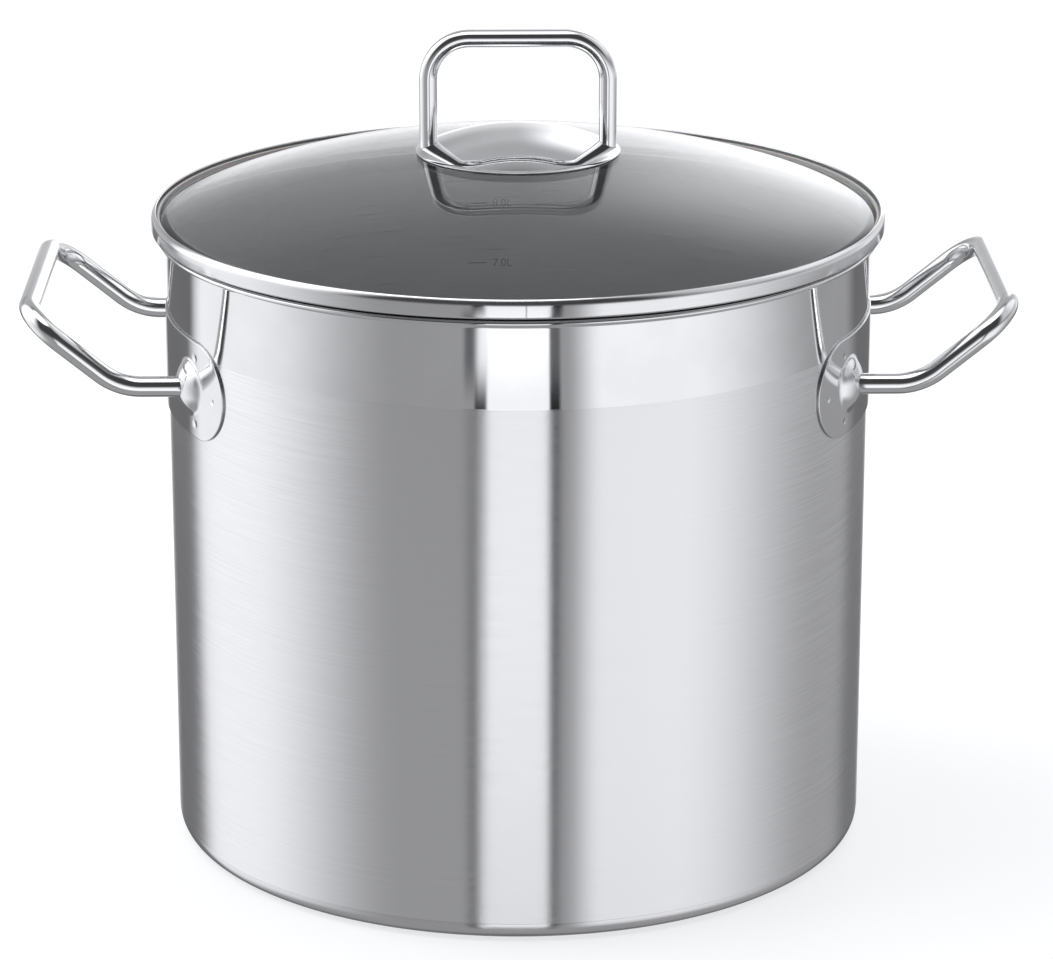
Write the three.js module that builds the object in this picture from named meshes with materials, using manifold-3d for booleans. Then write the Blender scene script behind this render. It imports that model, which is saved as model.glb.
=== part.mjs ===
// Water bath canner: a tall stainless steel pot with two fixed rod handles, a domed glass lid in a
// steel rim, and a wire jar rack inside. Millimetres, +Z up. The origin is on the underside of the
// base, on the pot's axis; the side handles lie along X.
import * as THREE from "three";
import { mergeVertices } from "three/addons/utils/BufferGeometryUtils.js";
import Module from "manifold-3d";

const wasm = await Module();
wasm.setup();

// ---- Driving dimensions ----
const GAP = 0.3; // clearance between pieces that touch
const AROUND = 56; // facets round every large circle

const POT_RADIUS = 120; // outside of the wall
const WALL = 1;
const RIM_Z = 213.3; // top of the flared pouring rim
const RIM_RADIUS = 122.9;
const RIM_ROLL = 0.9; // radius of the rounded pouring edge
const FLARE = 6; // height over which the wall flares out to the rim
const BASE_HEIGHT = 6.3; // capsule under the pot
const BASE_SHELL = 0.8;
const BASE_EDGE = 5.6; // radius of the capsule's lower edge
const BASE_INSET = 0.1; // how far the capsule stands in from the wall
const FLOOR_TOP = 8;
const INSIDE_CORNER = 8;

const ROD = 7; // side handle rod diameter
const HANDLE_HALF_WIDTH = 49.5; // rod axis to the XZ plane
const HANDLE_Z = 171;
const HANDLE_BEND_X = 133.7; // where the level legs turn up
const HANDLE_END_X = 163.8;
const HANDLE_END_Z = 195.5;
const HANDLE_BEND = 21.6;
const HANDLE_CORNER = 14;

const PLATE = 1.2;
const PLATE_HALF_WIDTH = 70.3;
const PLATE_HALF_HEIGHT = 16.7;
const PLATE_END = 14.6; // how far the oval's round end reaches along Y
const BOSS_SPHERE = 26;
const BOSS_RISE = 3.2;
const BOSS_REACH = 14; // radius of the spherical cutter that shapes a boss
const BOSS_DEPTH = 8;

const LID_RADIUS = 124.8;
const LID_SEAT_Z = RIM_Z + 0.4;
const LID_RIM_TOP = 220.7;
const LID_SHEET = 0.7;
const LIP_RADIUS = POT_RADIUS - WALL - 0.6;
const LIP_Z = 207; // lower edge of the lip that drops inside the wall
const CURL = 2.4; // width of the rim's turned-in upper edge
const GLASS = 4;
const GLASS_SPHERE = 340;
const GLASS_TOP = 241.2;
const GLASS_RADIUS = 122;
const GLASS_HOLE = 6;
const GLASS_SEAT_Z = LID_SEAT_Z + 1.7;
const SEAL = 0.5; // thickness of the seal round the glass

const ROSETTE_TOP = 247.7;
const ROSETTE_SPHERE = 80;
const ROSETTE_RADIUS = 34.8;
const ROSETTE_SHEET = 1.2;
const LOOP_ROD = 6;
const LOOP_HALF_WIDTH = 31;
const LOOP_Z = 278.2; // axis of the grip
const LOOP_CORNER = 12;
const LOOP_FOOT_Z = 232; // below the rosette, whose dome trims the legs

const BOSS_RADIUS = 4.2;
const BOSS_FLANGE = 7.5;
const SCREW_RADIUS = 2.5;
const SCREW_HEAD = 4.6;

const RACK_WIRE = 3.5;
const RACK_RINGS = [17, 46, 76, 106];
const RACK_RUNNERS = [-55, 0, 55];
const RUNNER_Z = 24;
const FOOT_CIRCLE = 100; // the runners' feet stand on this circle
const RUNNER_CORNER = 6;

// ---- Materials ----
const metal = (color, roughness) => new THREE.MeshStandardMaterial({ color, roughness, metalness: 1 });
const soft = (color) => new THREE.MeshStandardMaterial({ color, roughness: 0.6, metalness: 0 });
const polished = () => metal(0xd8dadc, 0.08);
const brushed = () => metal(0xc4c6c8, 0.3);
const aluminium = () => metal(0xb8babd, 0.45);
const silicone = () => soft(0xdedede);
const glass = () =>
  new THREE.MeshStandardMaterial({ color: 0xe8eeee, roughness: 0.03, transparent: true, opacity: 0.35 });

// ---- Helpers ----
const canner = new THREE.Group();

function add(name, geometry, material) {
  const mesh = new THREE.Mesh(geometry, material);
  mesh.name = name;
  canner.add(mesh);
}

// Points on an arc in the (radius, z) plane; angles in degrees from the +radius direction.
function arc(radius, z, r, from, to, steps) {
  return Array.from({ length: steps + 1 }, (_, i) => {
    const a = THREE.MathUtils.degToRad(from + ((to - from) * i) / steps);
    return [radius + r * Math.cos(a), z + r * Math.sin(a)];
  });
}

// Points on the sphere of radius r whose top is at z, from one radius to another.
function cap(r, top, from, to, steps) {
  return Array.from({ length: steps + 1 }, (_, i) => {
    const x = from + ((to - from) * i) / steps;
    return [x, top - r + Math.sqrt(r * r - x * x)];
  });
}

// A profile of (radius, z) pairs, anticlockwise, turned about Z. It closes on itself unless it
// starts and ends on the axis.
function turn(profile, around = AROUND) {
  const points = profile.map(([r, z]) => new THREE.Vector2(r, z));
  const onAxis = profile[0][0] === 0 && profile.at(-1)[0] === 0;
  if (!onAxis) points.push(points[0].clone());
  return new THREE.LatheGeometry(points, around).rotateX(Math.PI / 2);
}

function solid(geometry) {
  const g = geometry.clone();
  g.deleteAttribute("normal");
  g.deleteAttribute("uv");
  const m = mergeVertices(g, 1e-4);
  return new wasm.Manifold(
    new wasm.Mesh({
      numProp: 3,
      vertProperties: new Float32Array(m.attributes.position.array),
      triVerts: new Uint32Array(m.index.array),
    }),
  );
}

function geometryOf(manifold) {
  const mesh = manifold.getMesh();
  const g = new THREE.BufferGeometry();
  g.setAttribute("position", new THREE.BufferAttribute(mesh.vertProperties, 3));
  g.setIndex(new THREE.BufferAttribute(mesh.triVerts, 1));
  g.computeVertexNormals();
  return g;
}

// A route of straight runs with rounded corners, through a list of points.
class RoundedRoute extends THREE.Curve {
  constructor(points, radii) {
    super();
    this.path = new THREE.CurvePath();
    let last = points[0];
    for (let i = 1; i < points.length - 1; i++) {
      const back = points[i - 1].clone().sub(points[i]).normalize();
      const on = points[i + 1].clone().sub(points[i]).normalize();
      const half = back.angleTo(on) / 2;
      const reach = radii[i - 1] / Math.tan(half);
      const start = points[i].clone().addScaledVector(back, reach);
      const end = points[i].clone().addScaledVector(on, reach);
      const pull = ((4 / 3) * Math.tan((Math.PI / 2 - half) / 2) * radii[i - 1]) / reach;
      this.path.add(new THREE.LineCurve3(last, start));
      this.path.add(
        new THREE.CubicBezierCurve3(
          start,
          start.clone().lerp(points[i], pull),
          end.clone().lerp(points[i], pull),
          end,
        ),
      );
      last = end;
    }
    this.path.add(new THREE.LineCurve3(last, points.at(-1)));
  }
  getPoint(t) {
    return this.path.getPoint(t);
  }
}

function rod(points, radii, diameter, steps, sides = 8) {
  const section = new THREE.Shape();
  for (let i = 0; i < sides; i++) {
    const a = ((i + 0.5) * 2 * Math.PI) / sides;
    const [x, y] = [(diameter / 2) * Math.cos(a), (diameter / 2) * Math.sin(a)];
    if (i) section.lineTo(x, y);
    else section.moveTo(x, y);
  }
  section.closePath();
  return new THREE.ExtrudeGeometry(section, {
    extrudePath: new RoundedRoute(points, radii),
    steps,
    bevelEnabled: false,
  });
}

const at = (x, y, z) => new THREE.Vector3(x, y, z);

// ---- Pot ----
function potBody() {
  const inside = POT_RADIUS - WALL;
  const seat = BASE_HEIGHT + GAP;
  return turn([
    [0, seat],
    [POT_RADIUS - 1.2, seat],
    [POT_RADIUS, seat + 1.2],
    [POT_RADIUS, RIM_Z - FLARE],
    [POT_RADIUS + 0.7, RIM_Z - FLARE + 2.4],
    [POT_RADIUS + 2, RIM_Z - FLARE + 3.7],
    ...arc(RIM_RADIUS - RIM_ROLL, RIM_Z - RIM_ROLL, RIM_ROLL, -60, 120, 4),
    [inside + 1.4, RIM_Z - 2 * RIM_ROLL],
    [inside + 0.4, RIM_Z - FLARE + 2.8],
    [inside, RIM_Z - FLARE],
    ...arc(inside - INSIDE_CORNER, FLOOR_TOP + INSIDE_CORNER, INSIDE_CORNER, 0, -90, 5),
    [0, FLOOR_TOP],
  ]);
}

function baseCap() {
  const edge = POT_RADIUS - BASE_INSET;
  const inner = BASE_EDGE - BASE_SHELL;
  return turn([
    [0, 0],
    ...arc(edge - BASE_EDGE, BASE_EDGE, BASE_EDGE, -90, 0, 4),
    [edge, BASE_HEIGHT],
    [edge - BASE_SHELL, BASE_HEIGHT],
    ...arc(edge - BASE_EDGE, BASE_EDGE, inner, 0, -90, 4),
    [0, BASE_SHELL],
  ]);
}

function baseCore() {
  const low = BASE_SHELL + GAP;
  const edge = POT_RADIUS - BASE_INSET - BASE_SHELL - GAP;
  return turn([
    [0, low],
    [edge - 5, low],
    [edge - 1.6, low + 1.6],
    [edge, low + 4.6],
    [edge, BASE_HEIGHT],
    [0, BASE_HEIGHT],
  ]);
}

add("pot_body", potBody(), brushed());
add("base_cap", baseCap(), brushed());
add("base_core", baseCore(), aluminium());

// ---- Side handles; side is +1 for +X and -1 for -X ----
const bossAngle = Math.asin(HANDLE_HALF_WIDTH / (POT_RADIUS + GAP + PLATE));

// A domed boss, or the slightly larger dome that a rod end is cut to.
function bossDome(side, end, extra) {
  const r = BOSS_SPHERE + extra;
  const back = r - BOSS_DEPTH;
  const profile = [[0, back], [BOSS_REACH, back], ...cap(r, r, BOSS_REACH, 0, 6)];
  const centre = POT_RADIUS + GAP + PLATE + BOSS_RISE - BOSS_SPHERE;
  const angle = side > 0 ? end * bossAngle : Math.PI - end * bossAngle;
  return turn(profile, 16)
    .rotateY(Math.PI / 2)
    .translate(centre, 0, 0)
    .rotateZ(angle)
    .translate(0, 0, HANDLE_Z);
}

function handlePlate(side) {
  const oval = new THREE.Shape();
  const straight = PLATE_HALF_WIDTH - PLATE_END;
  oval.moveTo(-straight, -PLATE_HALF_HEIGHT);
  oval.lineTo(straight, -PLATE_HALF_HEIGHT);
  oval.absellipse(straight, 0, PLATE_END, PLATE_HALF_HEIGHT, -Math.PI / 2, Math.PI / 2, false);
  oval.lineTo(-straight, PLATE_HALF_HEIGHT);
  oval.absellipse(-straight, 0, PLATE_END, PLATE_HALF_HEIGHT, Math.PI / 2, (3 * Math.PI) / 2, false);
  const outline = new THREE.ExtrudeGeometry(oval, {
    depth: POT_RADIUS / 2,
    curveSegments: 6,
    bevelEnabled: false,
  })
    .rotateX(Math.PI / 2)
    .rotateZ(Math.PI / 2)
    .translate(0.6 * POT_RADIUS, 0, HANDLE_Z);
  if (side < 0) outline.rotateZ(Math.PI);
  const inner = POT_RADIUS + GAP;
  const low = HANDLE_Z - 1.2 * PLATE_HALF_HEIGHT;
  const high = HANDLE_Z + 1.2 * PLATE_HALF_HEIGHT;
  const band = (from, to) => solid(turn([[from, low], [to, low], [to, high], [from, high]]));
  let plate = band(inner, inner + PLATE).intersect(solid(outline));
  const core = band(0, inner);
  for (const end of [-1, 1]) plate = plate.add(solid(bossDome(side, end, 0)).subtract(core));
  return geometryOf(plate);
}

function sideHandle(side) {
  const w = HANDLE_HALF_WIDTH;
  const leg = (end) => [
    at(side * (POT_RADIUS - 10), end * w, HANDLE_Z),
    at(side * HANDLE_BEND_X, end * w, HANDLE_Z),
    at(side * HANDLE_END_X, end * w, HANDLE_END_Z),
  ];
  const route = [...leg(-1), ...leg(1).reverse()];
  const radii = [HANDLE_BEND, HANDLE_CORNER, HANDLE_CORNER, HANDLE_BEND];
  let handle = solid(rod(route, radii, ROD, 38));
  for (const end of [-1, 1]) handle = handle.subtract(solid(bossDome(side, end, GAP)));
  return geometryOf(handle);
}

for (const [label, side] of [["left", -1], ["right", 1]]) {
  add("handle_plate_" + label, handlePlate(side), polished());
  add("side_handle_" + label, sideHandle(side), polished());
}

// ---- Lid ----
function lidRim() {
  const seat = LID_SEAT_Z;
  const lip = LIP_RADIUS - LID_SHEET;
  return turn([
    [LIP_RADIUS - 0.35, LIP_Z],
    [LIP_RADIUS, LIP_Z + 0.4],
    [LIP_RADIUS, seat],
    [LID_RADIUS - 0.5, seat],
    [LID_RADIUS, seat + 0.6],
    [LID_RADIUS - 0.8, LID_RIM_TOP - 1],
    [LID_RADIUS - 1.5, LID_RIM_TOP],
    [LID_RADIUS - 1.2 - CURL, LID_RIM_TOP],
    [LID_RADIUS - 1.5 - CURL, LID_RIM_TOP - 0.5],
    [LID_RADIUS - 1.8, LID_RIM_TOP - LID_SHEET],
    [LID_RADIUS - 1.5, LID_RIM_TOP - 1],
    [LID_RADIUS - 0.8, seat + 0.9],
    [LID_RADIUS - 1.2, seat + 0.6],
    [lip, seat + 0.6],
    [lip, LIP_Z + 0.4],
  ]);
}

function lidGlass() {
  const inner = GLASS_SPHERE - GLASS;
  const flatFrom = Math.sqrt(inner ** 2 - (GLASS_SEAT_Z - GLASS_TOP + GLASS_SPHERE) ** 2);
  return turn([
    ...cap(inner, GLASS_TOP - GLASS, GLASS_HOLE, flatFrom, 5),
    [GLASS_RADIUS - 0.5, GLASS_SEAT_Z],
    [GLASS_RADIUS, GLASS_SEAT_Z + 0.6],
    ...cap(GLASS_SPHERE, GLASS_TOP, GLASS_RADIUS, GLASS_HOLE, 6),
  ]);
}

// A bed under, round and over the edge of the glass.
function glassEdgeSeal() {
  const low = LID_SEAT_Z + 0.9;
  const under = GLASS_RADIUS - 2.6;
  const out = LID_RADIUS - 1.85;
  const over = LID_RIM_TOP - 1.1;
  const lap = GLASS_RADIUS - 0.6;
  return turn([
    [under, low],
    [out - 0.1, low],
    [out - 0.2, over],
    [lap, over],
    [lap, over - SEAL + 0.1],
    [out - SEAL - 0.1, over - SEAL + 0.1],
    [out - SEAL - 0.1, low + SEAL],
    [under, low + SEAL],
  ]);
}

function lidRosette() {
  const inner = ROSETTE_SPHERE - ROSETTE_SHEET;
  const edge = ROSETTE_RADIUS;
  const low = GLASS_TOP - GLASS_SPHERE + Math.sqrt(GLASS_SPHERE ** 2 - edge ** 2) + GAP;
  return turn(
    [
      ...cap(inner, ROSETTE_TOP - ROSETTE_SHEET, 0, edge - 3.8, 5),
      [edge - 0.9, low],
      [edge - 0.1, low],
      [edge, low + 0.5],
      ...cap(ROSETTE_SPHERE, ROSETTE_TOP, edge - 0.9, 0, 5),
    ],
    36,
  );
}

function lidHandleLoop() {
  const w = LOOP_HALF_WIDTH;
  const foot = LOOP_FOOT_Z;
  const route = [at(-w, 0, foot), at(-w, 0, LOOP_Z), at(w, 0, LOOP_Z), at(w, 0, foot)];
  const loop = rod(route, [LOOP_CORNER, LOOP_CORNER], LOOP_ROD, 28);
  const reach = ROSETTE_RADIUS + 1.2;
  const dome = turn(
    [
      [0, foot - LOOP_ROD],
      [reach, foot - LOOP_ROD],
      ...cap(ROSETTE_SPHERE + GAP, ROSETTE_TOP + GAP, reach, 0, 6),
    ],
    40,
  );
  return geometryOf(solid(loop).subtract(solid(dome)));
}

const STACK_Z = GLASS_TOP - GLASS; // underside of the glass at the hole
const WASHER_Z = STACK_Z - 2.6;

// Threaded bush: blind hole from below for the screw.
function rosetteBoss() {
  const top = ROSETTE_TOP - ROSETTE_SHEET - GAP - 0.6;
  const low = STACK_Z + 0.6;
  const bore = SCREW_RADIUS + GAP;
  return turn(
    [
      [0, top - 1],
      [bore, top - 1],
      [bore, low],
      [BOSS_RADIUS, low],
      [BOSS_RADIUS, top - 1.6],
      [BOSS_FLANGE, top - 1.2],
      [BOSS_FLANGE, top],
      [0, top],
    ],
    20,
  );
}

function grommet() {
  const bore = BOSS_RADIUS + GAP;
  const out = GLASS_HOLE - GAP - 0.1;
  const seat = GLASS_TOP + GAP;
  return turn(
    [
      [bore, STACK_Z + 0.2],
      [out, STACK_Z + 0.2],
      [out, seat],
      [13, seat - 0.2],
      [13, seat + 1],
      [bore, seat + 1.2],
    ],
    20,
  );
}

function washer(low, high, hole, radius) {
  const chamfer = 0.4;
  return turn(
    [[hole, low], [radius - chamfer, low], [radius, low + chamfer], [radius, high], [hole, high]],
    20,
  );
}

function lidScrew() {
  const head = WASHER_Z - GAP;
  const end = ROSETTE_TOP - ROSETTE_SHEET - 3;
  return turn(
    [
      [0, head - 2.4],
      [2.6, head - 2.4],
      [SCREW_HEAD - 0.4, head - 1.8],
      [SCREW_HEAD, head - 0.8],
      [SCREW_HEAD, head],
      [SCREW_RADIUS, head],
      [SCREW_RADIUS, end],
      [0, end],
    ],
    20,
  );
}

add("lid_rim", lidRim(), polished());
add("lid_glass", lidGlass(), glass());
add("glass_edge_seal", glassEdgeSeal(), silicone());
add("lid_rosette", lidRosette(), polished());
add("lid_handle_loop", lidHandleLoop(), polished());
add("rosette_boss", rosetteBoss(), brushed());
add("grommet", grommet(), silicone());
add("lower_seal", washer(STACK_Z - 1.3, STACK_Z - GAP, SCREW_RADIUS + GAP, 9), silicone());
add("lower_washer", washer(WASHER_Z, WASHER_Z + 1, SCREW_RADIUS + GAP, 8), brushed());
add("lid_screw", lidScrew(), brushed());

// ---- Jar rack ----
RACK_RINGS.forEach((radius, i) => {
  const ring = new THREE.TorusGeometry(radius, RACK_WIRE / 2, 6, 12 + 12 * i);
  ring.translate(0, 0, RUNNER_Z + RACK_WIRE + GAP);
  add("rack_ring_" + (i + 1), ring, brushed());
});

RACK_RUNNERS.forEach((y, i) => {
  const x = Math.sqrt(FOOT_CIRCLE ** 2 - y ** 2);
  const foot = FLOOR_TOP + GAP;
  const route = [at(-x, y, foot), at(-x, y, RUNNER_Z), at(x, y, RUNNER_Z), at(x, y, foot)];
  add("rack_runner_" + (i + 1), rod(route, [RUNNER_CORNER, RUNNER_CORNER], RACK_WIRE, 26, 6), brushed());
});

export default canner;
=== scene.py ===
# Water bath canner: the fine surface and the materials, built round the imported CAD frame.
# Shapes are worked out in millimetres and written to their meshes in metres.
import math

import bmesh
import bpy
import numpy as np
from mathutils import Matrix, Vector


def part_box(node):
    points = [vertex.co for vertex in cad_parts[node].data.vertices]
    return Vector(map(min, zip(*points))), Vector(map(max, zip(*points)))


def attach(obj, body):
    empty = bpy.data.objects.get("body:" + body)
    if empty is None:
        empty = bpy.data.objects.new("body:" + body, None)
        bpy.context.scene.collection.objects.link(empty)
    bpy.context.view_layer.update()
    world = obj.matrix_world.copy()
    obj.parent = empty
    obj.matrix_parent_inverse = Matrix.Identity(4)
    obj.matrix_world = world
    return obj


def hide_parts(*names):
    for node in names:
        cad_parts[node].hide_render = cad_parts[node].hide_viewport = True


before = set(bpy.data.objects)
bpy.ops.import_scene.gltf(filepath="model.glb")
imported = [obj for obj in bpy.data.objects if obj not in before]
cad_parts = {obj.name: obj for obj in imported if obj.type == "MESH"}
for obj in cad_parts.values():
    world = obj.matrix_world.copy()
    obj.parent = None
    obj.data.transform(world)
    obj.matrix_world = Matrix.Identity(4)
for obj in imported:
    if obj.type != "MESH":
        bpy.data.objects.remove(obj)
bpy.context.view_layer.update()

scene = bpy.context.scene
MM = 0.001


def low(node):
    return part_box(node)[0] / MM


def high(node):
    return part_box(node)[1] / MM


# ---- Sizes, in millimetres ----
AROUND = 320  # facets round a large circle
ROUND = 48  # facets round a rod

BASE_HEIGHT = high("base_cap").z
BASE_RADIUS = high("base_cap").x
BASE_SHELL = 0.8
BASE_EDGE = 5.6
POT_RADIUS = BASE_RADIUS + 0.1
WALL = 1
FLOOR_TOP = low("rack_runner_1").z - 0.3
INSIDE_CORNER = 8
RIM_Z = high("pot_body").z
BAND_Z = 183.4  # the wall is polished above this and brushed below it
LINE_DEPTH = 0.03  # a shallow line parts the two finishes
SEAM = 0.04  # hairline between pieces that are pressed or welded together

ROD = 3.5  # radius of the side handles' rod
PLATE_LOW, PLATE_HIGH = low("handle_plate_right"), high("handle_plate_right")
HANDLE_Z = (PLATE_LOW.z + PLATE_HIGH.z) / 2
HANDLE_HALF_WIDTH = 49.5
HANDLE_BEND_X = 133.7
HANDLE_END_X = 163.8
HANDLE_END_Z = 195.5
HANDLE_BEND = 21.6
HANDLE_CORNER = 14

PLATE_INSIDE = POT_RADIUS + SEAM
PLATE_OUTSIDE = POT_RADIUS + 0.8
PLATE_HALF_WIDTH = PLATE_HIGH.y
PLATE_HALF_HEIGHT = (PLATE_HIGH.z - PLATE_LOW.z) / 2
PLATE_END = 14.6
PLATE_EDGE = 0.25
BOSS_SPHERE = 12.5
BOSS_TOP = POT_RADIUS + 4.9
BOSS_BLEND = 0.9
BOSS_ANGLE = math.asin(HANDLE_HALF_WIDTH / (POT_RADIUS + 1.5))
BOSS_CENTRE = BOSS_TOP - BOSS_SPHERE
SPOT_WELDS = ((68.3, -0.9), (56.1, 11), (55, -12))  # along the plate and up from its middle
SPOT_RADIUS = 0.85
SPOT_DEPTH = 0.26
WELD = 0.12  # fillet where a rod stands on its plate
WELD_SHADE_BAND = 0.14  # painted shade: the rod is darkened this far up from the ball it stands on, for the shadow line at its foot, and the weld is dull there

LID_RADIUS = high("lid_rim").x
LID_TOP = high("lid_rim").z
LIP_Z = low("lid_rim").z
LID_SEAT_Z = RIM_Z + 0.43
LID_SHEET = 0.7
LIP_RADIUS = POT_RADIUS - WALL - 0.6
SEAT_RADIUS = 121.3  # the lid ring's underside rests on the rim inside this and clears it outside
SEAT_STEP = 0.8
CURL = 2.9  # radius of the rolled top edge
CURL_END = 50  # degrees that it rolls through
SEAM_AT = -math.pi / 2 + 0.008  # the lid ring's butt weld, at the front
SEAM_DEPTH = 0.05
SEAM_WIDTH = 0.14
GLASS = 4
GLASS_SPHERE = 340
GLASS_TOP = high("lid_glass").z + 0.05
GLASS_RADIUS = high("lid_glass").x
GLASS_SEAT_Z = low("lid_glass").z
GLASS_HOLE = 6

ROSETTE_TOP = high("lid_rosette").z
ROSETTE_RADIUS = high("lid_rosette").x
ROSETTE_SPHERE = 80
ROSETTE_SHEET = 1.2
LOOP_ROD = 3
FLAT = math.cos(math.pi / 8)  # the CAD rods are octagons, this share of their circle across flats
LOOP_Z = high("lid_handle_loop").z - LOOP_ROD * FLAT
LOOP_HALF_WIDTH = 30.4
LOOP_CORNER = 14

WIRE = 1.75  # radius of the rack's wire
RUNNER_Z = high("rack_runner_1").z - WIRE * FLAT + 0.1
RING_Z = (low("rack_ring_1").z + high("rack_ring_1").z) / 2
RINGS = [17, 46, 76, 106]
RUNNERS = [-55, 0, 55]
FOOT_CIRCLE = 100
RUNNER_CORNER = 6


# ---- Shape helpers ----
def unit(v):
    return v / np.linalg.norm(v)


def rounded(points, fillets, closed=False, steps=7):
    """The points of a line in 2-D or 3-D with an arc of its fillet's radius at each corner."""
    points = [np.array(p, float) for p in points]
    made = []
    for i, (here, fillet) in enumerate(zip(points, fillets)):
        if not fillet or (not closed and i in (0, len(points) - 1)):
            made.append(here)
            continue
        back = unit(points[i - 1] - here)
        on = unit(points[(i + 1) % len(points)] - here)
        half = math.acos(np.clip(back @ on, -1, 1)) / 2
        centre = here + unit(back + on) * fillet / math.sin(half)
        start = unit(here + back * fillet / math.tan(half) - centre)
        for s in np.linspace(0, math.pi - 2 * half, steps + 1):
            made.append(centre + fillet * (start * math.cos(s) - back * math.sin(s)))
    return made


def outline(*corners, steps=7):
    """A section of (radius, z) or (radius, z, fillet) corners."""
    fillets = [c[2] if len(c) > 2 else 0 for c in corners]
    return rounded([c[:2] for c in corners], fillets, closed=True, steps=steps)


def arc(radius, z, r, start, end, steps):
    turns = np.radians(np.linspace(start, end, steps + 1))
    return [(radius + r * math.cos(a), z + r * math.sin(a)) for a in turns]


def cap(r, top, start, end, steps):
    """(radius, z) points on the ball of radius r whose top is at z."""
    return [(x, top - r + math.sqrt(r * r - x * x)) for x in np.linspace(start, end, steps + 1)]


def skin(rings, loop=False):
    """Vertices and faces of a surface through rings of points; a ring of one point is a pole."""
    starts = np.cumsum([0] + [len(r) for r in rings])
    faces = []
    pairs = list(zip(range(len(rings)), range(1, len(rings))))
    if loop:
        pairs.append((len(rings) - 1, 0))
    for a, b in pairs:
        n = max(len(rings[a]), len(rings[b]))
        j = np.arange(n)
        k = (j + 1) % n
        if len(rings[a]) == 1:
            faces += np.stack([starts[a] + 0 * j, starts[b] + k, starts[b] + j], 1).tolist()
        elif len(rings[b]) == 1:
            faces += np.stack([starts[a] + j, starts[a] + k, starts[b] + 0 * j], 1).tolist()
        else:
            quads = [starts[a] + j, starts[a] + k, starts[b] + k, starts[b] + j]
            faces += np.stack(quads, 1).tolist()
    return np.concatenate(rings), faces


def turn(section, around=AROUND):
    """A section of (radius, z) points, anticlockwise, turned about Z through so many equal steps,
    or through the angles given."""
    a = 2 * math.pi * np.arange(around) / around if isinstance(around, int) else around
    circle = np.stack([np.cos(a), np.sin(a), 0 * a], 1)
    rings = []
    for r, z in section:
        ring = circle * r if r > 1e-6 else np.zeros((1, 3))
        rings.append(ring + [0, 0, z])
    return skin(rings, loop=section[0][0] > 1e-6)


def circles(path, radius, side, around=ROUND):
    """Circles square to a path, carried along it without twist, and the unit spokes of the last."""
    path = np.array(path, float)
    steps = np.diff(path, axis=0)
    steps /= np.linalg.norm(steps, axis=1)[:, None]
    tangents = np.concatenate([steps[:1], steps[:-1] + steps[1:], steps[-1:]])
    a = 2 * math.pi * np.arange(around) / around
    side = np.array(side, float)
    rings = []
    for point, tangent in zip(path, tangents):
        tangent = unit(tangent)
        side = unit(side - (side @ tangent) * tangent)
        spokes = np.outer(np.cos(a), side) + np.outer(np.sin(a), np.cross(tangent, side))
        rings.append(point + radius * spokes)
    return rings, spokes


def foot(point, away, spokes, ball, radius, weld=WELD, steps=5):
    """Rings of a rod's end where it stands on a ball, with its weld's fillet, from the ball out."""
    centre, r = np.array(ball[0]), ball[1]
    away = np.array(away, float)
    rings = []
    for a in np.linspace(0, math.pi / 2, steps + 1):
        start = point + (radius + weld * (1 - math.sin(a))) * spokes
        from_centre = start - centre
        b = from_centre @ away
        reach = -b + np.sqrt(b * b - (from_centre**2).sum(1) + r * r)
        rings.append(start + np.outer(reach + weld * (1 - math.cos(a)) - 0.03, away))
    pole = rings[0].mean(0)[None] - 0.2 * away
    return [pole] + rings


def ball_top(point, ball):
    """How far along +Z or +X a point must go to stand on the ball; the point has the centre's height."""
    centre, r = np.array(ball[0]), ball[1]
    return math.sqrt(r * r - ((np.array(point) - centre) ** 2).sum())


def build(name, shape, materials, body, nodes=(), pick=None, sharp=38):
    """A piece from (vertices, faces) in millimetres. pick gives each face's material from its centre."""
    vertices, faces = shape
    mesh = bpy.data.meshes.new(name)
    mesh.from_pydata((np.asarray(vertices) * MM).tolist(), [], faces)
    for material in materials:
        mesh.materials.append(material)
    if pick:
        for polygon in mesh.polygons:
            polygon.material_index = pick(Vector(polygon.center) / MM)
    mesh.shade_smooth()
    mesh.set_sharp_from_angle(angle=math.radians(sharp))
    piece = bpy.data.objects.new(name, mesh)
    scene.collection.objects.link(piece)
    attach(piece, body)
    if nodes:
        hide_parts(*nodes)
    return piece


def join(shapes):
    """Several (vertices, faces) as one."""
    vertices, faces, count = [], [], 0
    for v, f in shapes:
        vertices.append(np.asarray(v, float))
        faces += [[i + count for i in face] for face in f]
        count += len(v)
    return np.concatenate(vertices), faces


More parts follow.
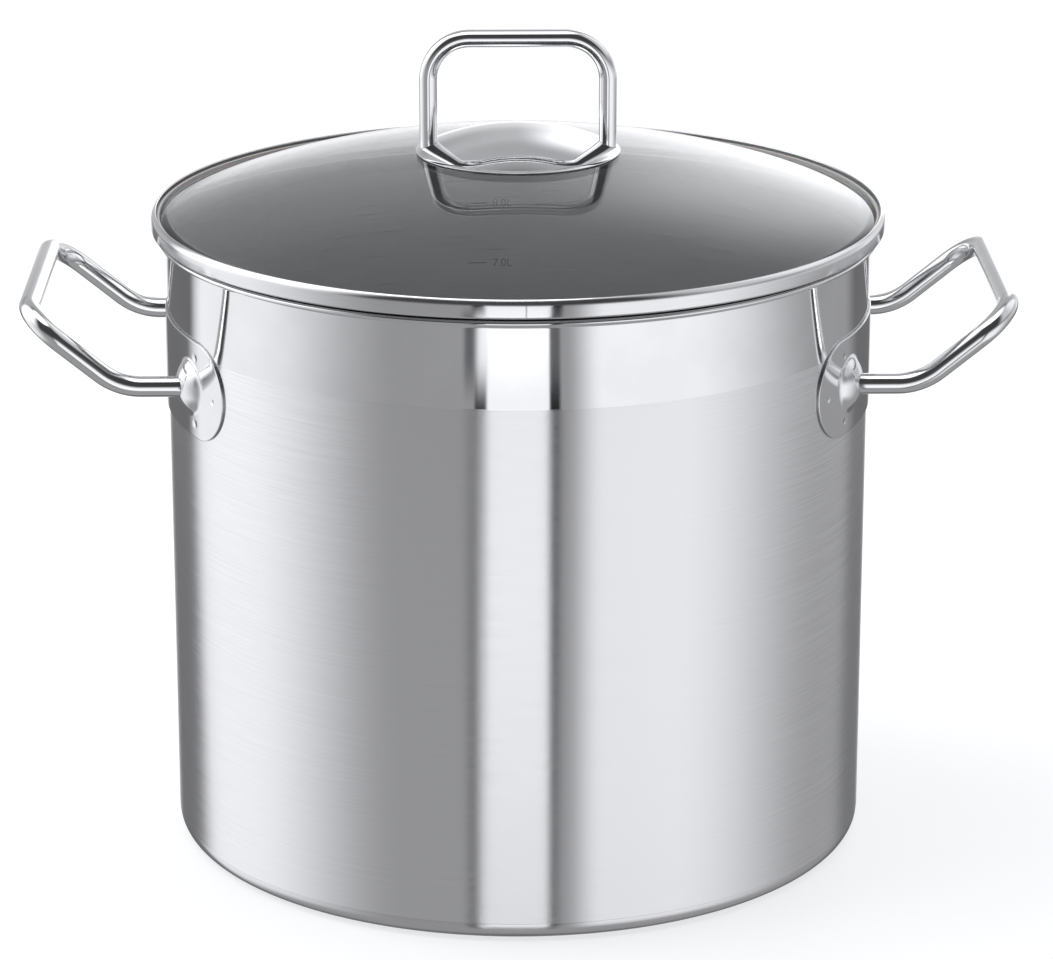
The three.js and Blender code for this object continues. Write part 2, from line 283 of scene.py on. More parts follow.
# ---- Material helpers ----
class Shader:
    """A material's node tree round one Principled BSDF."""

    def __init__(self, name, **settings):
        self.material = bpy.data.materials.new(name)
        self.material.use_nodes = True
        self.tree = self.material.node_tree
        self.principled = self.tree.nodes["Principled BSDF"]
        for socket, value in settings.items():
            self.principled.inputs[socket.replace("_", " ")].default_value = value
        self.place = self.node("ShaderNodeTexCoord").outputs["Object"]

    def node(self, kind, settings=None, **inputs):
        made = self.tree.nodes.new(kind)
        for key, value in (settings or {}).items():
            setattr(made, key, value)
        for key, value in inputs.items():
            self.feed(made.inputs[key.replace("_", " ")], value)
        return made

    def feed(self, socket, value):
        if isinstance(value, bpy.types.NodeSocket):
            self.tree.links.new(value, socket)
        else:
            socket.default_value = value

    def noise(self, scale, detail=3.0, roughness=0.5):
        """Noise from 0 to 1 with scale in features per metre along X, Y and Z."""
        where = self.node("ShaderNodeVectorMath", {"operation": "MULTIPLY"})
        self.feed(where.inputs[0], self.place)
        where.inputs[1].default_value = scale
        made = self.node("ShaderNodeTexNoise", Vector=where.outputs[0], Scale=1.0)
        made.inputs["Detail"].default_value = detail
        made.inputs["Roughness"].default_value = roughness
        return made.outputs["Fac"]

    def ramp(self, value, low_in, high_in, low_out, high_out):
        made = self.node("ShaderNodeMapRange", Value=value)
        ends = {"From Min": low_in, "From Max": high_in, "To Min": low_out, "To Max": high_out}
        for key, end in ends.items():
            made.inputs[key].default_value = end
        return made.outputs["Result"]

    def mix(self, factor, a, b):
        made = self.node("ShaderNodeMix", {"data_type": "RGBA"})
        self.feed(made.inputs["Factor"], factor)
        self.feed(made.inputs["A"], a)
        self.feed(made.inputs["B"], b)
        return made.outputs["Result"]

    def bump(self, height, depth):
        """Raises the surface by depth metres where height is 1."""
        made = self.node("ShaderNodeBump", Height=height, Distance=depth)
        self.feed(self.principled.inputs["Normal"], made.outputs["Normal"])

    def colour(self, value):
        self.feed(self.principled.inputs["Base Color"], value)

    def rough(self, value):
        self.feed(self.principled.inputs["Roughness"], value)


def grey(level):
    """A grey with the cool cast of stainless steel."""
    return (level * 0.994, level, level * 1.014, 1)


def polished_steel(name, level, shine, ripple=0.0):
    """Mirror steel with faint buffing haze, and a slow ripple where the sheet is thin."""
    s = Shader(name, Metallic=1.0)
    haze = s.noise((55, 55, 55), 4)
    s.colour(s.mix(s.ramp(haze, 0.35, 0.65, 0, 1), grey(level - 0.025), grey(level + 0.015)))
    s.rough(s.ramp(haze, 0.3, 0.7, shine * 0.8, shine * 1.3))
    if ripple:
        s.bump(s.noise((22, 22, 22), 1), ripple)
    return s.material


def brushed_steel(name, level, rough, grain, depth, uneven, spread=1.0):
    """Steel brushed round the pot: long fine lines, and flecks in them, that spread reflections up
    and down by spread. grain is in features per metre along X, Y and Z, and uneven is how much the
    roughness varies."""
    s = Shader(name, Metallic=1.0, Anisotropic=spread, Anisotropic_Rotation=0.25)
    lines = s.noise(grain, 4, 0.7)
    patches = s.noise((9, 9, 60), 2)
    tone = s.mix(s.ramp(lines, 0.3, 0.7, 0, 1), grey(level - 0.05), grey(level + 0.04))
    s.colour(s.mix(s.ramp(patches, 0.35, 0.65, 0, 0.3), tone, grey(level)))
    s.rough(s.ramp(lines, 0.3, 0.7, rough * (1 - uneven), rough * (1 + uneven)))
    flecks = s.noise((650, 650, grain[2]), 2)
    s.bump(s.mix(0.5, lines, flecks), depth)
    return s.material


def satin_steel(name, level, rough):
    """Plain rolled or turned steel."""
    s = Shader(name, Metallic=1.0)
    mottle = s.noise((400, 400, 400), 4, 0.6)
    s.colour(s.mix(mottle, grey(level - 0.05), grey(level + 0.05)))
    s.rough(s.ramp(mottle, 0.3, 0.7, rough * 0.75, rough * 1.25))
    s.bump(mottle, 0.00001)
    return s.material


def clear_glass():
    """Toughened glass with a light grey tint."""
    s = Shader("clear_glass", IOR=1.5, Transmission_Weight=1.0)
    smear = s.noise((30, 30, 30), 3)
    s.colour(s.mix(smear, (0.75, 0.765, 0.77, 1), (0.78, 0.795, 0.8, 1)))
    s.rough(s.ramp(smear, 0.3, 0.8, 0.0, 0.012))
    return s.material


def silicone():
    """Cloudy food-grade silicone."""
    s = Shader("silicone", IOR=1.41, Subsurface_Weight=0.3, Subsurface_Scale=0.002)
    cloud = s.noise((500, 500, 500), 3)
    s.colour(s.mix(cloud, (0.62, 0.62, 0.6, 1), (0.72, 0.72, 0.7, 1)))
    s.rough(s.ramp(cloud, 0.3, 0.7, 0.38, 0.55))
    s.bump(cloud, 0.00002)
    return s.material


def etched():
    """The dark, slightly rough marks that a laser leaves on steel."""
    s = Shader("etched_marks", Metallic=0.6)
    speckle = s.noise((2500, 2500, 2500), 2)
    s.colour(s.mix(speckle, grey(0.1), grey(0.2)))
    s.rough(s.ramp(speckle, 0.3, 0.7, 0.45, 0.65))
    return s.material


wall_polish = polished_steel("wall_polish", level=0.83, shine=0.05, ripple=0.00002)
lid_polish = polished_steel("lid_polish", level=0.84, shine=0.045)
rod_polish = polished_steel("rod_polish", level=0.84, shine=0.1)
plate_polish = polished_steel("plate_polish", level=0.82, shine=0.08)
wall_brushed = brushed_steel(
    "wall_brushed", level=0.84, rough=0.19, grain=(26, 26, 3600), depth=0.000009, uneven=0.22)
lid_brushed = brushed_steel(
    "lid_brushed", level=0.8, rough=0.12, grain=(60, 60, 4200), depth=0.000003, uneven=0.15)
base_brushed = brushed_steel(
    "base_brushed", level=0.74, rough=0.16, grain=(26, 26, 4200), depth=0.000005, uneven=0.18)
inside_brushed = brushed_steel(
    "inside_brushed", level=0.7, rough=0.34, grain=(26, 26, 1500), depth=0.000008, uneven=0.25,
    spread=0.0)
# painted shade: dark steel round the rods' feet for the shadow line where they meet the balls; it is also
# the dull weld
weld_and_shade_steel = satin_steel("weld_and_shade_steel", level=0.22, rough=0.4)
# painted shade: darker dull steel on the plates' cut edges and the lid ring's underside, shading them
dull_shaded_steel = satin_steel("dull_shaded_steel", level=0.45, rough=0.35)
plain_steel = satin_steel("plain_steel", level=0.66, rough=0.28)
wire_steel = satin_steel("wire_steel", level=0.72, rough=0.2)
aluminium = satin_steel("rolled_aluminium", level=0.74, rough=0.42)
glass = clear_glass()
rubber = silicone()
marks = etched()


# ---- Pot ----
def pot_shell():
    inside = POT_RADIUS - WALL
    bead = 0.9
    bead_radius, bead_z = high("pot_body").x - bead, RIM_Z - bead
    section = outline(
        (0, BASE_HEIGHT + SEAM),
        (POT_RADIUS, BASE_HEIGHT + SEAM, 0.05),
        (POT_RADIUS, BAND_Z - 0.5),
        (POT_RADIUS, BAND_Z - 0.4),
        (POT_RADIUS - LINE_DEPTH, BAND_Z - 0.2),
        (POT_RADIUS, BAND_Z),
        (POT_RADIUS, BAND_Z + 0.1),
        (POT_RADIUS, bead_z - bead - 0.3, 1.1),
        *arc(bead_radius, bead_z, bead, -85, 100, 14),
        (inside + 1.2, RIM_Z - 0.1, 1.4),
        (inside, RIM_Z - 3, 1.5),
        (inside, FLOOR_TOP, INSIDE_CORNER),
        (0, FLOOR_TOP),
    )

    def finish_at(centre):
        radius = math.hypot(centre.x, centre.y)
        if radius < POT_RADIUS - WALL / 2 and centre.z > BASE_HEIGHT + 1:
            return 2
        return 1 if centre.z < BAND_Z else 0

    finishes = [wall_polish, wall_brushed, inside_brushed]
    build("pot_shell", turn(section), finishes, "pot", ["pot_body"], finish_at)


def base():
    inner = BASE_EDGE - BASE_SHELL
    capsule = outline(
        (0, 0),
        (BASE_RADIUS, 0, BASE_EDGE),
        (BASE_RADIUS, BASE_HEIGHT, 0.05),
        (BASE_RADIUS - BASE_SHELL, BASE_HEIGHT),
        (BASE_RADIUS - BASE_SHELL, BASE_SHELL, inner),
        (0, BASE_SHELL),
        steps=12,
    )
    build("capsule", turn(capsule), [base_brushed], "pot", ["base_cap"])
    edge = BASE_RADIUS - BASE_SHELL - SEAM
    disc = outline(
        (0, BASE_SHELL + SEAM),
        (edge, BASE_SHELL + SEAM, inner),
        (edge, BASE_HEIGHT, 0.3),
        (0, BASE_HEIGHT),
    )
    build("heat_disc", turn(disc), [aluminium], "pot", ["base_core"])


def litre_scale():
    """Etched lines and numbers, one litre apart, up the inside of the far wall."""
    inside = POT_RADIUS - WALL
    per_litre = 23.05
    height, depth = 3, 0.03
    capital = 0.7  # share of the font's size
    number_x = -8
    dash_x, dash_half = (-16.9, -10.2), 0.2
    shapes = []
    for litre in range(1, 9):
        z = FLOOR_TOP + per_litre * litre
        curve = bpy.data.curves.new("number", "FONT")
        curve.body = f"{litre}.0L"
        curve.size = height / capital
        curve.extrude = depth / 2
        letters = bpy.data.objects.new("number", curve)
        mesh = bpy.data.meshes.new_from_object(letters)
        v = np.array([p.co for p in mesh.vertices])
        v = v + [number_x, z - height / 2, 0]
        shapes.append((v, [list(p.vertices) for p in mesh.polygons]))
        bpy.data.objects.remove(letters)
        under, over = z - dash_half, z + dash_half
        back, face = -depth / 2, depth / 2
        across = [(under, back), (under, face), (over, face), (over, back)]
        rings = [[(x, *p) for p in across] for x in np.linspace(*dash_x, 9)]
        ends = [np.mean(rings[0], 0)[None], np.mean(rings[-1], 0)[None]]
        shapes.append(skin([ends[0], *map(np.array, rings), ends[1]]))
    v, faces = join(shapes)
    radius = inside - SEAM - depth / 2 - v[:, 2]
    angle = v[:, 0] / inside
    bent = np.stack([radius * np.sin(angle), radius * np.cos(angle), v[:, 1]], 1)
    build("litre_scale", (bent, faces), [marks], "pot")


# ---- Side handles; side is +1 for +X and -1 for -X ----
def smooth_top(a, b, blend):
    """The higher of two heights, with their corner rounded."""
    h = np.clip(0.5 + (a - b) / (2 * blend), 0, 1)
    return b + (a - b) * h + blend * h * (1 - h)


def plate_height(y, z):
    """Height of the plate's face above its plain cylinder: two domed bosses and six spot welds."""
    angle = np.arcsin(y / PLATE_OUTSIDE)
    height = np.zeros_like(y)
    for end in (-1, 1):
        off = angle - end * BOSS_ANGLE
        up = z - HANDLE_Z
        # along a ray square to the pot's axis, out to the boss's ball
        spread = BOSS_SPHERE**2 - up**2 - (BOSS_CENTRE * np.sin(off)) ** 2
        ball = BOSS_CENTRE * np.cos(off) + np.sqrt(np.maximum(spread, 0)) - PLATE_OUTSIDE
        height = smooth_top(height, np.where(spread > 0, ball, -9), BOSS_BLEND)
        for along, above in SPOT_WELDS:
            from_weld = (angle * end * PLATE_OUTSIDE - along) ** 2 + (up - above) ** 2
            height = height - SPOT_DEPTH * np.exp(-from_weld / SPOT_RADIUS**2)
    return height


def stadium(steps_side, steps_end):
    """The plate's outline in (y, z), anticlockwise, with the middle line's point for each."""
    straight = PLATE_HALF_WIDTH - PLATE_END
    edge, middle = [], []
    for end in (1, -1):
        for a in np.linspace(-math.pi / 2, math.pi / 2, steps_end + 1):
            edge.append((end * (straight + PLATE_END * math.cos(a)), end * PLATE_HALF_HEIGHT * math.sin(a)))
            middle.append((end * straight, 0))
        for y in np.linspace(straight, -straight, steps_side + 1)[1:-1]:
            edge.append((end * y, end * PLATE_HALF_HEIGHT))
            middle.append((end * y, 0))
    return np.array(edge), np.array(middle)


def bracket(side, label):
    edge, middle = stadium(150, 96)
    along = np.roll(edge, -1, 0) - np.roll(edge, 1, 0)
    inward = np.stack([-along[:, 1], along[:, 0]], 1) / np.linalg.norm(along, axis=1)[:, None]
    top = PLATE_OUTSIDE - PLATE_EDGE

    def ring(flat, radius):
        y, z = flat[:, 0], flat[:, 1] + HANDLE_Z
        angle = np.arcsin(y / PLATE_OUTSIDE)
        return np.stack([side * radius * np.cos(angle), side * radius * np.sin(angle), z], 1)

    rings = [ring(middle, np.full(len(edge), PLATE_INSIDE)), ring(edge, np.full(len(edge), PLATE_INSIDE))]
    for a in np.linspace(0, math.pi / 2, 6):
        flat = edge + inward * PLATE_EDGE * (1 - math.cos(a))
        rings.append(ring(flat, np.full(len(edge), top + PLATE_EDGE * math.sin(a))))
    inner = edge + inward * PLATE_EDGE
    for share in np.linspace(1, 0, 49)[1:]:
        flat = middle + (inner - middle) * share
        rings.append(ring(flat, PLATE_OUTSIDE + plate_height(flat[:, 0], flat[:, 1] + HANDLE_Z)))

    def finish_at(centre):
        # painted shade: the cut edge is dull and darker, for the dark line round the plate
        return 1 if math.hypot(centre.x, centre.y) < top + 0.1 * PLATE_EDGE else 0

    piece = build("bracket_" + label, skin(rings), [plate_polish, dull_shaded_steel], "pot",
                  ["handle_plate_" + label], finish_at, sharp=60)
    weld_seams(piece)


def weld_seams(piece):
    """Merges the doubled vertices along a piece's middle line, so that it is one closed surface."""
    grid = bmesh.new()
    grid.from_mesh(piece.data)
    bmesh.ops.remove_doubles(grid, verts=grid.verts, dist=1e-7)
    bmesh.ops.recalc_face_normals(grid, faces=grid.faces)
    grid.to_mesh(piece.data)
    grid.free()


def side_handle(side, label):
    w = HANDLE_HALF_WIDTH
    out = np.array([side, 0, 0])
    centre_x = side * BOSS_CENTRE * math.cos(BOSS_ANGLE)
    centre_y = BOSS_CENTRE * math.sin(BOSS_ANGLE)
    balls = {end: ((centre_x, end * centre_y, HANDLE_Z), BOSS_SPHERE) for end in (-1, 1)}
    surface = abs(centre_x) + ball_top((centre_x, w, HANDLE_Z), balls[1])
    ends = {end: np.array([side * (surface + 1.5), end * w, HANDLE_Z]) for end in (-1, 1)}
    corners = [
        ends[-1],
        (side * HANDLE_BEND_X, -w, HANDLE_Z),
        (side * HANDLE_END_X, -w, HANDLE_END_Z),
        (side * HANDLE_END_X, w, HANDLE_END_Z),
        (side * HANDLE_BEND_X, w, HANDLE_Z),
        ends[1],
    ]
    fillets = [0, HANDLE_BEND, HANDLE_CORNER, HANDLE_CORNER, HANDLE_BEND, 0]
    path = rounded(corners, fillets, steps=20)
    rings, last = circles(path, ROD, (0, 0, 1))
    first = (rings[0] - path[0]) / ROD
    near = foot(np.array([centre_x, -w, HANDLE_Z]), out, first, balls[-1], ROD)
    far = foot(np.array([centre_x, w, HANDLE_Z]), out, last, balls[1], ROD)
    shape = skin([*near, *rings, *reversed(far)])

    def finish_at(centre):
        # painted shade: a dark band at the rod's foot for its shadow line on the boss, and the weld
        return 1 if min(math.dist(centre, c) for c, _ in balls.values()) < BOSS_SPHERE + WELD_SHADE_BAND else 0

    build("side_rod_" + label, shape, [rod_polish, weld_and_shade_steel], "pot",
          ["side_handle_" + label], finish_at)


# ---- Lid ----
def lid_ring():
    lip = LIP_RADIUS - LID_SHEET
    step = LID_SEAT_Z + LID_SHEET
    centre = LID_RADIUS - CURL
    centre_z = LID_TOP - CURL * math.sin(math.radians(CURL_END))
    middle = CURL - LID_SHEET / 2
    tip = math.radians(CURL_END)
    tip_at = (centre + middle * math.cos(tip), centre_z + middle * math.sin(tip))
    section = outline(
        (lip, LIP_Z, 0.25),
        (LIP_RADIUS, LIP_Z, 0.25),
        (LIP_RADIUS, LID_SEAT_Z, 0.9),
        (SEAT_RADIUS, LID_SEAT_Z, 0.5),
        (SEAT_RADIUS + 0.7, LID_SEAT_Z + SEAT_STEP, 0.5),
        (LID_RADIUS, LID_SEAT_Z + SEAT_STEP, 0.8),
        *arc(centre, centre_z, CURL, 0, CURL_END, 14),
        *arc(*tip_at, LID_SHEET / 2, CURL_END + 20, CURL_END + 160, 6),
        *arc(centre, centre_z, CURL - LID_SHEET, CURL_END, 0, 10),
        (LID_RADIUS - LID_SHEET, step + SEAT_STEP, 0.4),
        (SEAT_RADIUS + 0.4, step + SEAT_STEP, 0.4),
        (SEAT_RADIUS - 0.3, step, 0.4),
        (lip, step, 0.9),
        steps=8,
    )
    seam = SEAM_AT + np.radians(np.linspace(-0.3, 0.3, 13))  # finer steps across the weld
    angles = np.concatenate([seam, np.linspace(seam[-1], seam[0] + 2 * math.pi, AROUND + 1)[1:-1]])
    ring, faces = turn(section, angles)
    # the butt weld of the ring is a hairline groove down its front
    turned = (np.arctan2(ring[:, 1], ring[:, 0]) - SEAM_AT) * LID_RADIUS
    away = np.hypot(ring[:, 0], ring[:, 1])
    outside = np.clip((away - LID_RADIUS + 2.5) / 1.5, 0, 1)
    groove = SEAM_DEPTH * outside * np.exp(-((turned / SEAM_WIDTH) ** 2))
    ring[:, :2] *= (1 - groove / LID_RADIUS)[:, None]

    def finish_at(centre):
        # painted shade: the underside is dull and darker, to shade the gap between the lid and the rim
        return 1 if centre.z < LID_SEAT_Z + SEAT_STEP + 0.12 else 0

    build("lid_ring", (ring, faces), [lid_brushed, dull_shaded_steel], "lid",
          ["lid_rim"], finish_at, sharp=60)


def lid_dome():
    inner = GLASS_SPHERE - GLASS
    flat_from = math.sqrt(inner**2 - (GLASS_SEAT_Z - GLASS_TOP + GLASS_SPHERE) ** 2)
    under = cap(inner, GLASS_TOP - GLASS, GLASS_HOLE, flat_from, 40)
    over = cap(GLASS_SPHERE, GLASS_TOP, GLASS_RADIUS, GLASS_HOLE, 40)
    section = outline(
        (*under[0], 0.5),
        *under[1:],
        (GLASS_RADIUS, GLASS_SEAT_Z, 0.5),
        (*over[0], 0.3),
        *over[1:-1],
        (*over[-1], 0.3),
        steps=3,
    )
    build("lid_dome", turn(section), [glass], "lid", ["lid_glass"])


def edge_seal():
    under = GLASS_RADIUS - 2.6
    bed = LID_SEAT_Z + LID_SHEET + SEAM
    out = LID_RADIUS - LID_SHEET - SEAM
    inner = GLASS_RADIUS + SEAM
    shoulder = LID_TOP - CURL * math.sin(math.radians(CURL_END))
    section = outline(
        (under, bed, 0.15),
        (SEAT_RADIUS - 0.3, bed, 0.1),
        (SEAT_RADIUS + 0.4, bed + SEAT_STEP, 0.1),
        (out, bed + SEAT_STEP, 0.3),
        (out, shoulder, 0.8),
        (inner + 0.5, LID_TOP - 1.1, 0.2),
        (inner, LID_TOP - 1.3, 0.15),
        (inner, GLASS_SEAT_Z - SEAM, 0.05),
        (under, GLASS_SEAT_Z - SEAM, 0.15),
        steps=3,
    )
    build("edge_seal", turn(section), [rubber], "lid", ["glass_edge_seal"])


def rosette():
    edge = ROSETTE_RADIUS
    brim = ROSETTE_TOP - ROSETTE_SPHERE + math.sqrt(ROSETTE_SPHERE**2 - edge**2)
    section = outline(
        *cap(ROSETTE_SPHERE - ROSETTE_SHEET, ROSETTE_TOP - ROSETTE_SHEET, 0, edge - 3, 20),
        (edge - 1.5, brim + 0.1),
        (edge - 0.5, brim - 0.15, 0.1),
        (edge, brim - 0.05, 0.08),
        (edge, brim + 0.2, 0.1),
        *cap(ROSETTE_SPHERE, ROSETTE_TOP, edge - 0.4, 0, 30),
        steps=4,
    )
    build("rosette", turn(section, 192), [lid_polish], "lid", ["lid_rosette"], sharp=50)


def lid_grip():
    w = LOOP_HALF_WIDTH
    ball = ((0, 0, ROSETTE_TOP - ROSETTE_SPHERE), ROSETTE_SPHERE)
    up = np.array([0, 0, 1])
    surface = ball[0][2] + ball_top((w, 0, ball[0][2]), ball)
    corners = [(-w, 0, surface + 3), (-w, 0, LOOP_Z), (w, 0, LOOP_Z), (w, 0, surface + 3)]
    path = rounded(corners, [0, LOOP_CORNER, LOOP_CORNER, 0], steps=24)
    rings, last = circles(path, LOOP_ROD, (0, 1, 0))
    first = (rings[0] - path[0]) / LOOP_ROD
    left = foot(np.array([-w, 0, ball[0][2]]), up, first, ball, LOOP_ROD)
    right = foot(np.array([w, 0, ball[0][2]]), up, last, ball, LOOP_ROD)
    shape = skin([*left, *rings, *reversed(right)])

    def finish_at(centre):
        # painted shade: a dark band at the rod's foot for its shadow line on the cap, and the weld
        return 1 if math.dist(centre, ball[0]) < ROSETTE_SPHERE + WELD_SHADE_BAND else 0

    build("lid_grip", shape, [lid_polish, weld_and_shade_steel], "lid",
          ["lid_handle_loop"], finish_at)


def lid_fixings():
    """The bush, grommet, seal, washer and screw that clamp the rosette to the glass."""
    boss_low, boss_high = low("rosette_boss"), high("rosette_boss")
    flange, barrel, bore = boss_high.x, 4.2, 2.6
    section = outline(
        (0, boss_high.z - 1),
        (bore, boss_high.z - 1),
        (bore, boss_low.z, 0.3),
        (barrel, boss_low.z, 0.3),
        (barrel, boss_high.z - 1.3, 0.4),
        (flange, boss_high.z - 1.1, 0.2),
        (flange, boss_high.z, 0.2),
        (0, boss_high.z),
        steps=3,
    )
    build("threaded_bush", turn(section, 64), [plain_steel], "lid", ["rosette_boss"])

    ring_low, ring_high = low("grommet"), high("grommet")
    out = GLASS_HOLE - 0.2
    seat = GLASS_TOP + 0.05
    section = outline(
        (barrel + SEAM, ring_low.z, 0.2),
        (out, ring_low.z, 0.2),
        (out, seat, 0.3),
        (ring_high.x, seat - 0.15, 0.3),
        (ring_high.x, ring_high.z, 0.3),
        (barrel + SEAM, ring_high.z, 0.2),
        steps=3,
    )
    build("hole_grommet", turn(section, 64), [rubber], "lid", ["grommet"])

    for name, node, finish, slot in (
        ("under_seal", "lower_seal", rubber, "silicone"),
        ("under_washer", "lower_washer", plain_steel, "plain_steel"),
    ):
        bottom, top = low(node), high(node)
        section = outline(
            (bore + SEAM, bottom.z, 0.1),
            (top.x, bottom.z, 0.3),
            (top.x, top.z, 0.15),
            (bore + SEAM, top.z, 0.1),
            steps=3,
        )
        build(name, turn(section, 64), [finish], "lid", [node])

    bottom, top = low("lid_screw"), high("lid_screw")
    head_z, head = bottom.z + 2.4, top.x
    pitch = 0.8
    threads = []
    for z in np.arange(head_z + 0.6, top.z - 0.6, pitch):
        threads += [(2.5, z), (2.5, z + 0.1), (2.15, z + 0.45), (2.15, z + 0.55)]
    section = outline(
        (0, bottom.z + 1.2),
        (0.7, bottom.z + 1.2),
        (1.3, bottom.z, 0.1),
        (head - 1, bottom.z, 0.9),
        (head, head_z - 0.6, 0.3),
        (head, head_z, 0.15),
        (2.5, head_z, 0.15),
        *threads,
        (2.0, top.z, 0.2),
        (0, top.z),
        steps=3,
    )
    build("clamp_screw", turn(section, 64), [plain_steel], "lid", ["lid_screw"])


# ---- Jar rack ----
def nugget():
    """The section of the squeezed weld where two wires cross."""
    turns = np.linspace(-math.pi / 2, math.pi / 2, 9)
    return [(1.5 * math.cos(a) if abs(a) < 1.57 else 0, 0.7 * math.sin(a)) for a in turns]


def rack():
    bead, bead_faces = turn(nugget(), 24)
    for i, radius in enumerate(RINGS, 1):
        section = arc(radius, RING_Z, WIRE, 0, 360, 20)[:-1]
        build(f"wire_ring_{i}", turn(section, 48 + 48 * i), [wire_steel], "rack",
              [f"rack_ring_{i}"])
    for i, y in enumerate(RUNNERS, 1):
        x = math.sqrt(FOOT_CIRCLE**2 - y**2)
        end = low("rack_runner_1").z + WIRE
        corners = [(-x, y, end), (-x, y, RUNNER_Z), (x, y, RUNNER_Z), (x, y, end)]
        path = rounded(corners, [0, RUNNER_CORNER, RUNNER_CORNER, 0], steps=12)
        rings, spokes = circles(path, WIRE, (0, 1, 0), 24)
        down = np.array([0, 0, -1])
        tips = []
        for a in np.linspace(0, math.pi / 2, 6)[1:-1]:
            tips.append((WIRE * math.cos(a), WIRE * math.sin(a)))
        first = (rings[0] - path[0]) / WIRE
        start = [path[0] + first * r + down * d for r, d in reversed(tips)]
        finish = [path[-1] + spokes * r + down * d for r, d in tips]
        poles = [(path[0] + down * WIRE)[None], (path[-1] + down * WIRE)[None]]
        shapes = [skin([poles[0], *start, *rings, *finish, poles[1]])]
        for radius in RINGS:
            if radius <= abs(y):
                continue
            for side in (-1, 1):
                where = (side * math.sqrt(radius**2 - y**2), y, (RUNNER_Z + RING_Z) / 2)
                shapes.append((bead + where, bead_faces))
        build(f"runner_{i}", join(shapes), [wire_steel], "rack", [f"rack_runner_{i}"])


# ---- Studio ----
def studio_floor():
    """A pale floor that curves up far away into a backdrop. Steel reflects the lights, not the floor."""
    section = rounded([(0, 0), (6000, 0), (6000, 5000)], [0, 2500, 0], steps=16)
    vertices, faces = turn([tuple(p) for p in section] + [(0, 5000)], 96)
    mesh = bpy.data.meshes.new("studio_floor")
    mesh.from_pydata((vertices * MM).tolist(), [], [list(reversed(f)) for f in faces])
    mesh.shade_smooth()
    s = Shader("pale_floor", Roughness=0.7, Emission_Strength=0.62)
    s.principled.inputs["Emission Color"].default_value = grey(1)
    s.colour(s.mix(s.noise((3, 3, 3), 2), grey(0.54), grey(0.56)))
    mesh.materials.append(s.material)
    floor = bpy.data.objects.new("studio_floor", mesh)
    scene.collection.objects.link(floor)
    floor.visible_glossy = False
    floor.visible_shadow = False
    floor.visible_diffuse = False


# Soft lights round the object. Azimuth is in degrees from the camera's side, or from the far side,
# + to the camera's right; elevation is above the horizon. Each light fades in over the first two
# angles and out over the last two.
ALL_ROUND = (-181, -180, 180, 181)
FRONT_LIGHTS = [
    # azimuth                    elevation           strength
    (ALL_ROUND, (-92, -91, -8, 20), 0.11),  # pale surroundings below the horizon
    ((-137, -131, 132, 145), (-92, -91, -8, 20), 0.19),  # fill in front
    ((-137, -126, -100, -40), (-48, -30, -8, 20), 0.66),  # left window
    ((-137, -122, -80, -45), (-8, 25, 60, 75), 1.5),  # its upper part
    ((14, 27, 50, 118), (-48, -30, -8, 18), 0.7),  # right window
    ((-11.5, -10.2, 8.9, 9.6), (-36, -26, -10, 15), 0.76),  # front strip
    ((-14, -11, 8.9, 9.6), (-40, -30, -22, -17), 0.22),  # brighter low down
    ((-15.2, -14, -11, -10.2), (-50, -40, -5, 15), -0.32),  # flag left of the strip
    ((8.9, 9.8, 12, 13.4), (-50, -40, -5, 15), -0.34),  # flag right of the strip
    ((-15.4, -13, -11.5, -10.2), (-50, -32, -20, -16.5), 0.9),  # the strip is wider low down
    ((-19, -17, -15.4, -14), (-50, -40, -20, -16.5), -0.22),  # and its flag is further out
    ((8.9, 9.8, 12, 13.4), (-50, -40, -20, -16.5), 0.12),  # the right flag is weaker there
    ((40, 70, 132, 145), (5, 25, 60, 75), 0.6),  # upper part of the right window
    (ALL_ROUND, (64, 76, 91, 92), 1.1),  # overhead
]
BACK_LIGHTS = [
    ((-100, -60, 60, 100), (-16, -5, 6, 42), 0.38),  # backdrop
    ((-22, 6, 40, 60), (-14, -4, 8, 40), 0.32),  # brighter to the right
    ((0, 12, 15, 24), (-14, 2, 22, 44), 1.1),  # window far to the right
    ((-100, -60, 60, 100), (15, 35, 52, 75), 0.4),  # top of the backdrop
    ((-14, -3, 3, 14), (-60, -40, -16, -8), 0.3),  # the floor far behind
    ((-15, -12, 12, 15), (-45, -35, -5, 5), 0.4),  # strip behind
]
GLOOM = 0.055  # strength where no light shines


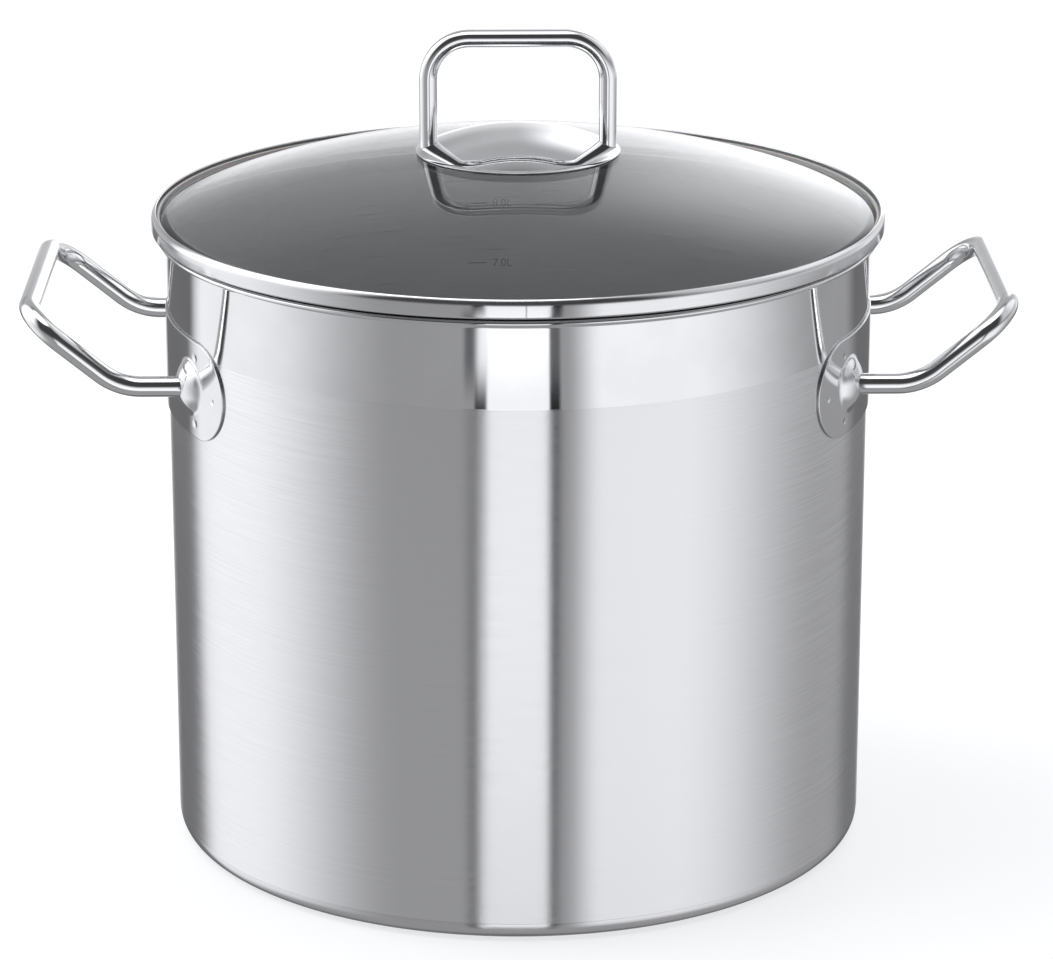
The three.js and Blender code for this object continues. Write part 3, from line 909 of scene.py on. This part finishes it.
def studio_light():
    world = bpy.data.worlds.new("studio")
    scene.world = world
    world.use_nodes = True
    tree = world.node_tree

    def math_node(operation, *values):
        made = tree.nodes.new("ShaderNodeMath")
        made.operation = operation
        for socket, value in zip(made.inputs, values):
            if isinstance(value, bpy.types.NodeSocket):
                tree.links.new(value, socket)
            else:
                socket.default_value = value
        return made.outputs[0]

    def fade(value, start, end):
        made = tree.nodes.new("ShaderNodeMapRange")
        made.interpolation_type = "SMOOTHSTEP"
        tree.links.new(value, made.inputs["Value"])
        made.inputs["From Min"].default_value = start
        made.inputs["From Max"].default_value = end
        return made.outputs["Result"]

    def between(value, a, b, c, d):
        return math_node("SUBTRACT", fade(value, a, b), fade(value, c, d))

    where = tree.nodes.new("ShaderNodeTexCoord").outputs["Generated"]
    split = tree.nodes.new("ShaderNodeSeparateXYZ")
    tree.links.new(where, split.inputs[0])
    x, y, z = split.outputs
    degrees = 180 / math.pi
    elevation = math_node("MULTIPLY", math_node("ARCSINE", z), degrees)
    front = math_node("MULTIPLY", math_node("ARCTAN2", x, math_node("MULTIPLY", y, -1)), degrees)
    back = math_node("MULTIPLY", math_node("ARCTAN2", x, y), degrees)
    total = GLOOM
    for azimuth, lights in ((front, FRONT_LIGHTS), (back, BACK_LIGHTS)):
        for across, up, strength in lights:
            shape = math_node("MULTIPLY", between(azimuth, *across), between(elevation, *up))
            total = math_node("ADD", total, math_node("MULTIPLY", shape, strength))
    total = math_node("MAXIMUM", total, 0)
    tree.links.new(total, tree.nodes["Background"].inputs["Strength"])
    tree.nodes["Background"].inputs["Color"].default_value = (1, 1, 1.025, 1)


def overhead_light():
    light = bpy.data.lights.new("overhead", "AREA")
    light.shape = "DISK"
    light.size = 1.6
    light.energy = 7
    lamp = bpy.data.objects.new("overhead", light)
    lamp.location = (-0.3, -0.2, 2.3)
    lamp.rotation_euler = (Vector((0, 0, 0.1)) - lamp.location).to_track_quat("-Z", "Y").to_euler()
    scene.collection.objects.link(lamp)


# ---- Camera ----
def camera():
    distance, height = 1.440, 0.5816
    around, aim, pitch = 0.013, 0.015, 0.309
    data = bpy.data.cameras.new("camera")
    data.sensor_width = 36
    data.lens = 148.5
    view = bpy.data.objects.new("camera", data)
    view.location = (-distance * math.sin(around), -distance * math.cos(around), height)
    look = Vector((math.sin(aim) * math.cos(pitch), math.cos(aim) * math.cos(pitch), -math.sin(pitch)))
    view.rotation_euler = look.to_track_quat("-Z", "Y").to_euler()
    scene.collection.objects.link(view)
    scene.camera = view


camera()
scene.view_settings.view_transform = "Standard"
studio_light()
overhead_light()
studio_floor()
pot_shell()
base()
litre_scale()
for label, side in (("left", -1), ("right", 1)):
    bracket(side, label)
    side_handle(side, label)
lid_ring()
lid_dome()
edge_seal()
rosette()
lid_grip()
lid_fixings()
rack()
